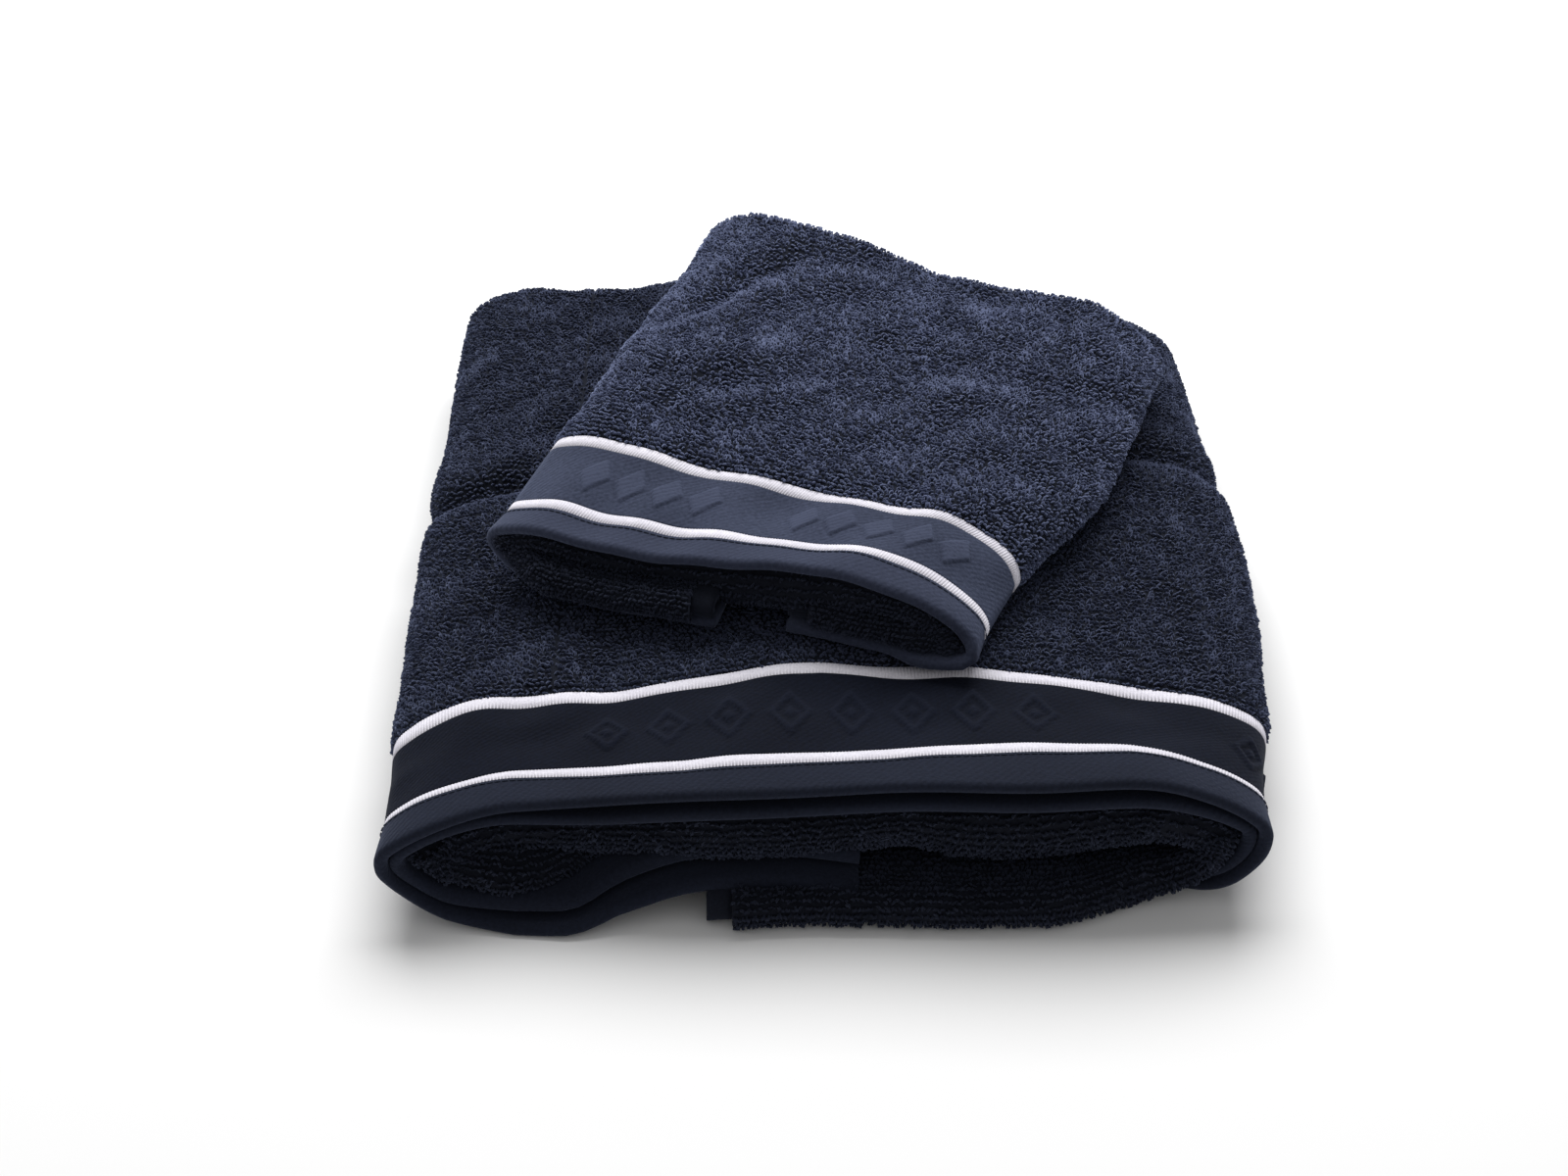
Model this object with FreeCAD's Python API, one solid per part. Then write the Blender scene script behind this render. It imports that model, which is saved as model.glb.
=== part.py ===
"""A bath towel set: a bath towel folded into a flat pack, and a guest towel folded on top of it.

Each towel is one terry cloth with a flat woven border at both ends. A border is a turned hem, a narrow
white stripe, a plain band and a wider white stripe. The cloth is folded along its length first, so that
its layers lie on each other, and both sides are then folded under. A cut across a folded towel therefore
shows one path, which runs from the end of the left flap round the left roll, over the top, round the
right roll and back along the ground to the end of the right flap. Every piece is a shell along that path.

Units are millimetres. +X is to the right, +Y is away from the hem end and +Z is up. The origin is on the
ground, under the middle of the set.
"""
import FreeCAD
import Part
import math
import os

Vector = FreeCAD.Vector

# ---------------------------------------------------------------- bath towel
BATH_WIDTH = 304.0             # folded, over the two rolls
BATH_DEPTH = 340.0             # folded, from the hem to the back fold
BATH_HEIGHT = 55.0
BATH_LAYER = 4.5               # one layer of terry
BATH_LAYERS = 4                # folded in half twice
BATH_ROLL = 26.5               # outer radius of the left and right rolls
BATH_RIGHT_FLAP_END = -40.0    # x where the right flap stops, on the ground
BATH_LEFT_FLAP_END = 12.0      # x where the left flap stops, on top of the right flap
BATH_FLAP_LIFT = 18.2          # height of the left flap where it lies on the right flap
BATH_RAMP_TOP = -52.0          # x where the left flap starts to come down
BATH_RAMP_FOOT = -86.0         # x where it reaches the ground
BATH_RAMP_RADIUS = 30.0
BATH_HEM = 15.0                # sizes of the border, from the hem edge back to the terry
BATH_LOWER_STRIPE = 7.5
BATH_BAND = 40.5
BATH_UPPER_STRIPE = 8.5
BATH_BORDER_THICKNESS = 2.4    # the border is flat woven, so it is thinner than the terry
BATH_SECOND_BORDER_INSET = 3.0 # how far under the first border the second one starts
BATH_FOLD_INSET = 6.0          # how far under the first border the front fold starts
BATH_SECOND_HEM_SETBACK = 2.0  # the second hem edge stops this far behind the first
BATH_FOLD_SETBACK = 6.0        # and the front fold this far behind it

# ---------------------------------------------------------------- guest towel
GUEST_WIDTH = 196.0
GUEST_DEPTH = 220.0
GUEST_HEIGHT = 37.0
GUEST_LAYER = 3.6
GUEST_LAYERS = 3               # folded in three
GUEST_ROLL = 18.0
GUEST_RIGHT_FLAP_END = 12.0
GUEST_LEFT_FLAP_END = -14.0
GUEST_HEM = 13.0
GUEST_LOWER_STRIPE = 5.5
GUEST_BAND = 24.0
GUEST_UPPER_STRIPE = 6.0
GUEST_BORDER_THICKNESS = 2.2
GUEST_FOLD_INSET = 3.2
GUEST_FOLD_SETBACK = 5.0
GUEST_INNER_END = 80.0         # y where the innermost layer stops, short of the back fold
GUEST_TURN = -18.0             # degrees about +Z, seen from above
GUEST_CENTRE = (10.0, 21.0)    # x and y of its middle on the bath towel
REST_GAP = 0.5                 # between the two towels

# ---------------------------------------------------------------- edges, threads and labels
SIDE_HEM = 9.0                 # width of the turned edge along both long sides
SEAM_GAP = 0.15                # between a piece and the next one along the cloth
THREAD_WIDTH = 0.7
THREAD_HEIGHT = 0.35
THREAD_FROM_STRIPE = 2.0       # the hem is stitched this far from the lower stripe
BATH_LABEL = (34.0, 24.0)      # length out of the side hem, and width along it
GUEST_LABEL = (18.0, 16.0)
LABEL_THICKNESS = 0.5
LABEL_FROM_TERRY = 12.0        # the label starts this far behind the border

# ---------------------------------------------------------------- raised pattern on the front bands
PATTERN_HEIGHT = 0.5
BATH_LOZENGE = (17.0, 27.0)    # width and length of one lozenge
BATH_LOZENGE_PITCH = 21.5
BATH_LOZENGE_GROUPS = ((0.0, 8),)               # middle x and number of lozenges of each group
GUEST_LOZENGE = (11.0, 15.0)
GUEST_LOZENGE_PITCH = 14.0
GUEST_LOZENGE_GROUPS = ((-50.0, 4), (35.0, 5))


def right_normal(a, b):
    """Unit normal on the right-hand side of the run from a to b, which is the inside of the wrap."""
    length = math.hypot(b[0] - a[0], b[1] - a[1])
    return ((b[1] - a[1]) / length, -(b[0] - a[0]) / length)


def shifted(corners, inset):
    """The corners of the same path, moved towards the inside of the wrap by inset."""
    normals = [right_normal(a, b) for a, b in zip(corners, corners[1:])]
    normals = [normals[0]] + normals + [normals[-1]]
    moved = []
    for (x, z), before, after in zip(corners, normals, normals[1:]):
        share = inset / (1 + before[0] * after[0] + before[1] * after[1])
        moved.append((x + share * (before[0] + after[0]), z + share * (before[1] + after[1])))
    return moved


def path_edges(corners, radii, inset, y):
    """Lines and tangent arcs along the path, inset from its outer face. Each inner corner has its radius."""
    moved = shifted(corners, inset)
    edges, last = [], Vector(moved[0][0], y, moved[0][1])
    for i, radius in enumerate(radii, start=1):
        before = Vector(moved[i][0] - moved[i - 1][0], 0, moved[i][1] - moved[i - 1][1]).normalize()
        after = Vector(moved[i + 1][0] - moved[i][0], 0, moved[i + 1][1] - moved[i][1]).normalize()
        turn = before.getAngle(after)
        turns_inward = before.z * after.x - before.x * after.z > 0
        bend = radius - inset if turns_inward else radius + inset
        corner = Vector(moved[i][0], y, moved[i][1])
        tangent = bend * math.tan(turn / 2)
        start, end = corner - before * tangent, corner + after * tangent
        towards = (after - before).normalize()
        middle = corner + towards * bend * (1 / math.cos(turn / 2) - 1)
        if (start - last).Length > 1e-6:
            edges.append(Part.LineSegment(last, start).toShape())
        edges.append(Part.Arc(start, middle, end).toShape())
        last = end
    edges.append(Part.LineSegment(last, Vector(moved[-1][0], y, moved[-1][1])).toShape())
    return edges


def shell(path, outer, inner, front, back):
    """A layer of cloth along the path, between two insets from its outer face, from front to back."""
    corners, radii = path
    outside = path_edges(corners, radii, outer, front)
    inside = path_edges(corners, radii, inner, front)
    start, end = shifted(corners, outer), shifted(corners, inner)
    caps = [Part.LineSegment(Vector(start[i][0], front, start[i][1]),
                             Vector(end[i][0], front, end[i][1])).toShape() for i in (0, -1)]
    wire = Part.Wire(Part.__sortEdges__(outside + inside + caps))
    return Part.Face(wire).extrude(Vector(0, back - front, 0))


def trimmed(path, by):
    """The same path, stopping short at both flap ends."""
    corners, radii = path
    first, second, second_last, last = corners[0], corners[1], corners[-2], corners[-1]
    step = math.copysign(by, second[0] - first[0])
    back_step = math.copysign(by, second_last[0] - last[0])
    inner = [(first[0] + step, first[1])] + corners[1:-1] + [(last[0] + back_step, last[1])]
    return inner, radii


def upper_part(path, width, height):
    """The part of the path from half way up the left roll, over the top, to half way down the right roll."""
    half = width / 2
    roll = path[1][-1]
    corners = [(-half, height / 2), (-half, height), (half, height), (half, height / 2)]
    return corners, [roll, roll]


def fused(*solids):
    """One solid from pieces that share faces."""
    joined = solids[0].fuse(list(solids[1:])).removeSplitter()
    return joined.Solids[0] if len(joined.Solids) == 1 else joined


def border_rows(hem, lower_stripe, band, upper_stripe, front, direction=1):
    """The four rows of a border as (name, first y, last y), counted from the hem edge at front."""
    rows, at = [], front
    for name, size in (("hem", hem), ("lower_stripe", lower_stripe),
                       ("band", band), ("upper_stripe", upper_stripe)):
        ends = sorted((at, at + direction * size))
        rows.append((name, ends[0] + SEAM_GAP / 2, ends[1] - SEAM_GAP / 2))
        at += direction * size
    return rows, at


def bath_path():
    """Outer face of the folded bath towel, from the left flap's end to the right flap's end."""
    half = BATH_WIDTH / 2
    corners = [(BATH_LEFT_FLAP_END, BATH_FLAP_LIFT), (BATH_RAMP_TOP, BATH_FLAP_LIFT),
               (BATH_RAMP_FOOT, 0), (-half, 0), (-half, BATH_HEIGHT),
               (half, BATH_HEIGHT), (half, 0), (BATH_RIGHT_FLAP_END, 0)]
    return corners, [BATH_RAMP_RADIUS, BATH_RAMP_RADIUS] + [BATH_ROLL] * 4


def side_hem(path, side, height, front, back, slits):
    """The turned edge of the cloth at one flap end, folded with the cloth.

    slits is a list of (first y, last y, low z, high z), the spaces between its layers.
    """
    corners = path[0]
    near, far = (corners[0], corners[1]) if side == "left" else (corners[-1], corners[-2])
    left = min(near[0], near[0] + math.copysign(SIDE_HEM, far[0] - near[0]))
    strip = Part.makeBox(SIDE_HEM, back - front, height, Vector(left, front, near[1]))
    spaces = [Part.makeBox(SIDE_HEM, last - first, high - low, Vector(left, first, near[1] + low))
              for first, last, low, high in slits]
    return strip.cut(Part.makeCompound(spaces))


def with_lozenges(band, lozenge, pitch, groups, y, top):
    """The band with groups of low raised lozenges woven on its upper face."""
    width, length = lozenge
    raised = []
    for middle, count in groups:
        for k in range(count):
            x = middle + pitch * (k - (count - 1) / 2)
            points = [(x - width / 2, y), (x, y - length / 2), (x + width / 2, y), (x, y + length / 2)]
            outline = [Vector(px, py, top - PATTERN_HEIGHT) for px, py in points + points[:1]]
            raised.append(Part.Face(Part.makePolygon(outline)).extrude(Vector(0, 0, 2 * PATTERN_HEIGHT)))
    return band.fuse(raised)


def care_label(size, side_x, y, z):
    """A blank label, sewn into the side hem and lying flat."""
    return Part.makeBox(size[0], size[1], LABEL_THICKNESS, Vector(side_x + SEAM_GAP, y + LABEL_FROM_TERRY, z))


def bath_towel():
    """The bath towel's pieces by name."""
    path = bath_path()
    front, back = -BATH_DEPTH / 2, BATH_DEPTH / 2
    full = BATH_LAYER * BATH_LAYERS
    sizes = (BATH_HEM, BATH_LOWER_STRIPE, BATH_BAND, BATH_UPPER_STRIPE)
    pieces = {}

    rows, terry_front = border_rows(*sizes, front)
    for name, first, last in rows:
        pieces["bath_front_" + name] = shell(path, 0, BATH_BORDER_THICKNESS, first, last)
    rows, _ = border_rows(*sizes, front + BATH_SECOND_HEM_SETBACK)
    for name, first, last in rows:
        last = min(last, terry_front - SEAM_GAP)
        pieces["bath_second_" + name] = shell(path, BATH_SECOND_BORDER_INSET,
                                              BATH_SECOND_BORDER_INSET + BATH_BORDER_THICKNESS, first, last)

    short = trimmed(path, SIDE_HEM + SEAM_GAP)
    body = shell(short, 0, full, terry_front, back)
    front_fold = shell(short, BATH_FOLD_INSET, full, front + BATH_FOLD_SETBACK, terry_front)
    pieces["bath_terry_cloth"] = fused(body, front_fold)
    t, gap = BATH_LAYER, SEAM_GAP
    slits = [(terry_front, back - t, t, t + gap), (back - t - gap, back - t, t, 3 * t),
             (terry_front + t, back - t, 3 * t - gap, 3 * t), (terry_front, back - 2 * t, 2 * t, 2 * t + gap)]
    for side in ("left", "right"):
        pieces["bath_side_hem_" + side] = side_hem(path, side, full, terry_front, back, slits)

    top = upper_part(path, BATH_WIDTH, BATH_HEIGHT)
    seam = front + BATH_HEM - THREAD_FROM_STRIPE
    pieces["bath_hem_stitching"] = shell(top, -THREAD_HEIGHT, 0, seam, seam + THREAD_WIDTH)
    pieces["bath_care_label"] = care_label(BATH_LABEL, BATH_LEFT_FLAP_END, terry_front, BATH_FLAP_LIFT)
    band_middle = front + BATH_HEM + BATH_LOWER_STRIPE + BATH_BAND / 2
    pieces["bath_front_band"] = with_lozenges(pieces["bath_front_band"], BATH_LOZENGE, BATH_LOZENGE_PITCH,
                                              BATH_LOZENGE_GROUPS, band_middle, BATH_HEIGHT)
    return pieces


def guest_path():
    """Outer face of the folded guest towel, in its own frame."""
    half = GUEST_WIDTH / 2
    corners = [(GUEST_LEFT_FLAP_END, 0), (-half, 0), (-half, GUEST_HEIGHT),
               (half, GUEST_HEIGHT), (half, 0), (GUEST_RIGHT_FLAP_END, 0)]
    return corners, [GUEST_ROLL] * 4


def guest_towel():
    """The guest towel's pieces by name, still in its own frame."""
    path = guest_path()
    front, back = -GUEST_DEPTH / 2, GUEST_DEPTH / 2
    full = GUEST_LAYER * GUEST_LAYERS
    inner = full - GUEST_LAYER
    sizes = (GUEST_HEM, GUEST_LOWER_STRIPE, GUEST_BAND, GUEST_UPPER_STRIPE)
    pieces = {}

    rows, terry_front = border_rows(*sizes, front)
    for name, first, last in rows:
        pieces["guest_front_" + name] = shell(path, 0, GUEST_BORDER_THICKNESS, first, last)
    rows, inner_terry_back = border_rows(*sizes, GUEST_INNER_END, direction=-1)
    for name, first, last in rows:
        pieces["guest_inner_" + name] = shell(path, inner + SEAM_GAP,
                                              inner + SEAM_GAP + GUEST_BORDER_THICKNESS, first, last)

    short = trimmed(path, SIDE_HEM + SEAM_GAP)
    body = shell(short, 0, inner, terry_front, back)
    inner_layer = shell(short, inner, full, terry_front, inner_terry_back)
    front_fold = shell(short, GUEST_FOLD_INSET, full, front + GUEST_FOLD_SETBACK, terry_front)
    pieces["guest_terry_cloth"] = fused(body, inner_layer, front_fold)
    slits = [(terry_front, back - GUEST_LAYER, GUEST_LAYER, GUEST_LAYER + SEAM_GAP)]
    for side in ("left", "right"):
        pieces["guest_side_hem_" + side] = side_hem(path, side, inner, terry_front, back, slits)

    top = upper_part(path, GUEST_WIDTH, GUEST_HEIGHT)
    seam = front + GUEST_HEM - THREAD_FROM_STRIPE
    pieces["guest_hem_stitching"] = shell(top, -THREAD_HEIGHT, 0, seam, seam + THREAD_WIDTH)
    pieces["guest_care_label"] = care_label(GUEST_LABEL, GUEST_LEFT_FLAP_END, terry_front, 0)
    band_middle = front + GUEST_HEM + GUEST_LOWER_STRIPE + GUEST_BAND / 2
    pieces["guest_front_band"] = with_lozenges(pieces["guest_front_band"], GUEST_LOZENGE, GUEST_LOZENGE_PITCH,
                                               GUEST_LOZENGE_GROUPS, band_middle, GUEST_HEIGHT)
    return pieces


def placed_on_bath(shape):
    """A guest towel piece, turned and set down on the bath towel."""
    seat = Vector(GUEST_CENTRE[0], GUEST_CENTRE[1], BATH_HEIGHT + REST_GAP)
    turn = FreeCAD.Rotation(Vector(0, 0, 1), GUEST_TURN)
    return shape.transformed(FreeCAD.Placement(seat, turn).toMatrix())


def main():
    os.makedirs("parts", exist_ok=True)
    pieces = bath_towel()
    pieces.update({name: placed_on_bath(shape) for name, shape in guest_towel().items()})
    for name, shape in pieces.items():
        shape.exportStep(f"parts/{name}.step")
        print(f"{name:26s} solids {len(shape.Solids)} valid {shape.isValid()} {shape.Volume / 1000:7.1f} cm3")


main()
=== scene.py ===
"""A folded bath towel with a folded guest towel lying on it, made piece by piece as the set is put together.

Metres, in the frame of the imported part: +X to the right, +Y away from the hems, +Z up.
"""

import math

import bpy
import bmesh
import numpy as np
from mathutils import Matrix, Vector


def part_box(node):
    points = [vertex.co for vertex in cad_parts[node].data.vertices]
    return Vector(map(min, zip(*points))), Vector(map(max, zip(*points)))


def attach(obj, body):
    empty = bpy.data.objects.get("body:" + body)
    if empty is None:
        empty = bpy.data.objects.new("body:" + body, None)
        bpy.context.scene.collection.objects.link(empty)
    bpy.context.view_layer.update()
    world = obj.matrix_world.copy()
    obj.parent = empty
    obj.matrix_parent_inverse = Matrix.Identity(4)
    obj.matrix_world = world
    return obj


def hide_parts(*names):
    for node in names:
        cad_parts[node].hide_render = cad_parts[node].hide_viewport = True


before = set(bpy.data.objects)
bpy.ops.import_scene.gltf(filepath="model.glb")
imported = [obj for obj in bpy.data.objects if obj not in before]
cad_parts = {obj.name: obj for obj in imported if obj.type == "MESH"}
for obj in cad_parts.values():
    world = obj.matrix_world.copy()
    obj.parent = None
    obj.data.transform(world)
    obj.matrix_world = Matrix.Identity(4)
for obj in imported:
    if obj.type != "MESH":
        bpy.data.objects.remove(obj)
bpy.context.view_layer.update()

# ---------------------------------------------------------------------------------------------------------
# Bath towel, terry cloth. A cotton terry cloth of 70 by 140 cm, folded in half twice along its length, so
# that four layers lie on each other, and then folded under at both sides. The four layers go round together
# in one wrap, from the end of the left flap over the top to the end of the right flap.
# ---------------------------------------------------------------------------------------------------------
MM = 0.001
LAYER = 4.5 * MM                    # from one layer of terry to the next
TERRY = 4.1 * MM                    # thickness of one layer, without its loops


def smooth_line(points, count):
    """Evenly spaced points on a smooth line through the given ones."""
    p = np.array(points, float)
    p = np.vstack([2 * p[0] - p[1], p, 2 * p[-1] - p[-2]])
    t = np.linspace(0, 1, 16, endpoint=False)[:, None]
    runs = [0.5 * (2 * b + (c - a) * t + (2 * a - 5 * b + 4 * c - d) * t**2 + (3 * b - a - 3 * c + d) * t**3)
            for a, b, c, d in zip(p, p[1:], p[2:], p[3:])]
    line = np.vstack(runs + [p[-2:-1]])
    walked = np.concatenate([[0], np.cumsum(np.linalg.norm(np.diff(line, axis=0), axis=1))])
    at = np.linspace(0, walked[-1], count)
    return np.column_stack([np.interp(at, walked, line[:, k]) for k in range(line.shape[1])])


def ease(x):
    """From 0 to 1 with a soft start and end."""
    x = np.clip(x, 0, 1)
    return x * x * (3 - 2 * x)


def rise(x, start, over):
    """From 0 at start to 1 after this length."""
    return ease((x - start) / over)


def hump(x, middle, width):
    """1 at the middle and softly down to 0 on both sides, over about twice this width."""
    return np.exp(-((x - middle) / width) ** 2)


def uneven(x, y, size, seed):
    """Smooth unevenness between about -1 and 1, with bumps of about this size."""
    rng = np.random.default_rng(seed)
    total = 0
    for _ in range(9):
        angle, phase = rng.uniform(0, 2 * math.pi, 2)
        wave = 2 * math.pi / size * rng.uniform(0.6, 1.5)
        total = total + np.sin(wave * (x * math.cos(angle) + y * math.sin(angle)) + phase)
    return total / 4


class Wrap:
    """The outer face of a folded towel, between a section at its hems and a section at its back.

    share is how far round the wrap a point is, from 0 at the left flap's end to 1 at the right flap's end,
    y is its depth and inset how far it lies inside the outer face.
    """

    ROUND, DEEP = 1201, 41

    def __init__(self, front, back, y_front, y_back, settle_over, finish):
        front, back = smooth_line(front, self.ROUND), smooth_line(back, self.ROUND)
        y = np.linspace(y_front, y_back, self.DEEP)
        blend = rise(y, y_front, settle_over)[:, None, None]
        self.line = front * (1 - blend) + back * blend
        along = np.gradient(self.line, axis=1)
        inward = np.stack([along[..., 1], -along[..., 0]], axis=-1)
        inward /= np.linalg.norm(inward, axis=-1, keepdims=True)
        width = 31
        padded = np.pad(inward, ((0, 0), (width // 2, width // 2), (0, 0)), mode="edge")
        inward = sum(padded[:, k:k + self.ROUND] for k in range(width))
        self.inward = inward / np.linalg.norm(inward, axis=-1, keepdims=True)
        self.y_front, self.y_back, self.finish = y_front, y_back, finish
        self.length = float(np.linalg.norm(np.diff(self.line[self.DEEP // 2], axis=0), axis=1).sum())

    def place(self, share, y, inset):
        share, y, inset = np.broadcast_arrays(*(np.asarray(v, float) for v in (share, y, inset)))
        row = np.clip((y - self.y_front) / (self.y_back - self.y_front), 0, 1) * (self.DEEP - 1)
        col = np.clip(share, 0, 1) * (self.ROUND - 1)
        i = np.minimum(row.astype(int), self.DEEP - 2)
        j = np.minimum(col.astype(int), self.ROUND - 2)
        u, v = (row - i)[..., None], (col - j)[..., None]

        def between(grid):
            return ((grid[i, j] * (1 - v) + grid[i, j + 1] * v) * (1 - u)
                    + (grid[i + 1, j] * (1 - v) + grid[i + 1, j + 1] * v) * u)

        point = between(self.line) + between(self.inward) * inset[..., None]
        return self.finish(np.stack([point[..., 0], y, point[..., 1]], axis=-1), share)


hem_low, hem_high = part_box("bath_front_hem")
BATH_FRONT, BATH_BACK = hem_low.y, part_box("bath_terry_cloth")[1].y
BATH_TERRY_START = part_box("bath_front_upper_stripe")[1].y - 1.2 * MM
HALF, TOP = hem_high.x, hem_high.z
LEFT_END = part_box("bath_side_hem_left")[1].x
RIGHT_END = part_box("bath_side_hem_right")[0].x

# Sections of the outer face, as (x, z), from the left flap's end clockwise to the right flap's end.
bath_front_section = [
    (LEFT_END, 0.0105), (-0.018, 0.0125), (-0.045, 0.0120), (-0.066, 0.0075), (-0.084, 0.0015),
    (-0.108, 0.0004), (-0.130, 0.0040), (-0.1455, 0.0125), (-HALF, 0.0235), (-0.1475, 0.0345),
    (-0.126, 0.0430), (-0.080, 0.0480), (-0.013, TOP - 0.0030), (0.050, TOP - 0.0005), (0.103, TOP),
    (0.130, 0.0485), (0.1475, 0.0380), (0.1500, 0.0260), (0.1430, 0.0120), (0.129, 0.0030),
    (0.108, 0.0005), (0.060, 0), (0.010, 0), (RIGHT_END, 0)]
bath_back_section = [
    (LEFT_END, 0.0182), (-0.018, 0.0186), (-0.045, 0.0182), (-0.066, 0.0110), (-0.086, 0.0015),
    (-0.108, 0.0), (-0.130, 0.0015), (-0.1475, 0.0110), (-HALF, 0.0240), (-0.1470, 0.0375),
    (-0.128, 0.0470), (-0.080, 0.0505), (-0.013, TOP - 0.001), (0.050, TOP - 0.0005), (0.103, 0.0520),
    (0.131, 0.0465), (0.1490, 0.0360), (0.1540, 0.0230), (0.1490, 0.0100), (0.133, 0.0015),
    (0.110, 0), (0.060, 0), (0.010, 0), (RIGHT_END, 0)]

# How far the border has drifted along the top, and the lower hems forward, at these places across (mm).
BAND_X = (-0.150, -0.118, -0.074, -0.039, 0.0, 0.056, 0.100, 0.129, 0.150)
BAND_DRIFT = (-16, -12.5, -9.5, -5.5, -1, -3.5, -6.5, -9, -9)
LOWER_X, LOWER_DRIFT = (-0.150, -0.130, -0.106, -0.086, -0.070, -0.050, 0.015), (7, 13, 16.5, 16.5, 11, 9, 9)
CREASE_Y = 0.030                    # the crease across the middle, left from an earlier fold


def settle_bath(p, share):
    """How the pile of layers really lies: uneven, creased across the middle and fuller on the right."""
    x, y, z = p[..., 0].copy(), p[..., 1].copy(), p[..., 2].copy()
    upper = rise(z, 0.020, 0.025)
    far = rise(y, BATH_FRONT, 0.05)
    z += upper * (0.0012 * uneven(x, y, 0.10, 3) + 0.0009 * far * uneven(x, y, 0.035, 4))

    # The crease across the middle is deeper at the sides, and the cloth beside it stands up a little.
    crease = CREASE_Y + 0.012 * np.tanh(x / 0.12) + 0.003 * np.sin(x * 60)
    strength = 0.45 + 0.55 * rise(np.abs(x), 0.085, 0.04)
    z -= upper * strength * (0.0046 - 0.006 * np.clip(x, -0.15, 0.15)) * hump(y, crease, 0.0065)
    z += upper * strength * 0.0014 * (hump(y - crease, 0.016, 0.010) + hump(y - crease, -0.016, 0.010))

    # The rolls bulge sideways, the right one more, and are nipped in by the crease.
    side = rise(np.abs(x), 0.10, 0.05) * np.sign(x)
    bulge = np.where(x > 0, 0.0100 * hump(y, -0.020, 0.085) + 0.002, 0.0025 * hump(y, -0.03, 0.07))
    x += side * rise(z, 0.004, 0.02) * (bulge + 0.0010 * uneven(y, z, 0.06, 5))
    x -= side * rise(z, 0.004, 0.02) * 0.0030 * hump(y, crease, 0.008)

    # The top is lower behind the border, except in its middle.
    back = ease((y - BATH_BACK + 0.05) / 0.05)
    near = rise(y, BATH_FRONT, 0.05) * (1 - rise(y, -0.08, 0.10))
    z += upper * near * (0.0025 * hump(x, 0.006, 0.045) - 0.0022)

    # The border has drifted on top, and the lower hems and the left one forward.
    at_band = rise(y, -0.151, 0.048) * (1 - rise(y, -0.103, 0.12))
    y = y + rise(z, 0.008, 0.014) * at_band * MM * np.interp(x, BAND_X, BAND_DRIFT)
    underneath = 1 - rise(z, 0.006, 0.020)
    forward = underneath * (1 - rise(y, BATH_FRONT, 0.07)) * (share < 0.3)
    y = y - forward * MM * np.interp(x, LOWER_X, LOWER_DRIFT)
    sagging = (1 - rise(y, -0.151, 0.048)) * rise(z, 0.006, 0.020)
    y = y - sagging * 0.009 * (1 - rise(x, -0.150, 0.045))
    y = y + (1 - far) * 0.0012 * np.sin(share * 41)

    # The back edge is uneven, and its right corner has slumped.
    y = y + back * (0.003 + 0.0035 * uneven(x, z, 0.12, 6))
    slumped = rise(x, 0.03, 0.12)
    z -= 0.0040 * slumped * rise(z, 0.010, 0.025) * rise(y, 0.105, 0.055)
    y = y - 0.019 * slumped * rise(y, 0.07, 0.10)
    return np.stack([x, y, np.maximum(z, 0.0002)], axis=-1)


bath = Wrap(bath_front_section, bath_back_section, BATH_FRONT, BATH_BACK, 0.075, settle_bath)
SEEN = (0.17, 0.79)                 # the shares of the way round between which the bath towel can be seen
TOP_SHARES = (0.345, 0.655)         # those between which it lies flat on top


def round_stations(wrap, first, last, fine, coarse, seen):
    """Shares of the way round from first to last, close together over the part that is seen."""
    spans = [(first, seen[0], coarse), (*seen, fine), (seen[1], last, coarse)]
    shares = [np.linspace(a, b, max(2, int(round((b - a) * wrap.length / step)) + 1))[:-1]
              for a, b, step in spans if b > a]
    return np.concatenate(shares + [[last]])


NOSE_REACH = 0.024                  # how far in from the front fold its loops can be seen


def fourth_line(start_y, back_y, nose_y, nose_high, nose_low, layer, s):
    """The middle of a cloth folded in four, from its front end round the back and the front fold and back.

    As arrays of y and inset. The front fold stands open between the insets nose_high and nose_low, and s
    gives the steps along each stretch.
    """
    fold_y = back_y - 2 * layer
    turn = np.linspace(0, math.pi, s["outer_fold"])
    y = [np.linspace(start_y, fold_y, s["first"])[:-1], fold_y + 1.5 * layer * np.sin(turn)]
    n = [np.full(s["first"] - 1, 0.5 * layer), 2 * layer - 1.5 * layer * np.cos(turn)]
    half = (nose_high - nose_low) / 2
    deep = 1.15 * half
    near = nose_y + deep + NOSE_REACH
    run = np.concatenate([np.linspace(fold_y, near, s["inner"])[:-1],
                          np.linspace(near, nose_y + deep, s["near"])])
    swell = ease(1 - (run - nose_y - deep) / 0.065)
    y += [run[1:-1]]
    n += [(3.5 * layer + (nose_high - 3.5 * layer) * swell)[1:-1]]
    turn = np.linspace(0, math.pi, s["nose"])
    y += [nose_y + deep - deep * np.sin(turn)]
    n += [(nose_high + nose_low) / 2 + half * np.cos(turn)]
    y += [run[::-1][1:-1]]
    n += [(2.5 * layer + (nose_low - 2.5 * layer) * swell)[::-1][1:-1]]
    turn = np.linspace(0, math.pi, s["inner_fold"])
    y += [fold_y + 0.5 * layer * np.sin(turn), np.linspace(fold_y, start_y, s["second"])[1:]]
    n += [2 * layer + 0.5 * layer * np.cos(turn), np.full(s["second"] - 1, 1.5 * layer)]
    return np.concatenate(y), np.concatenate(n)


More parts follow.
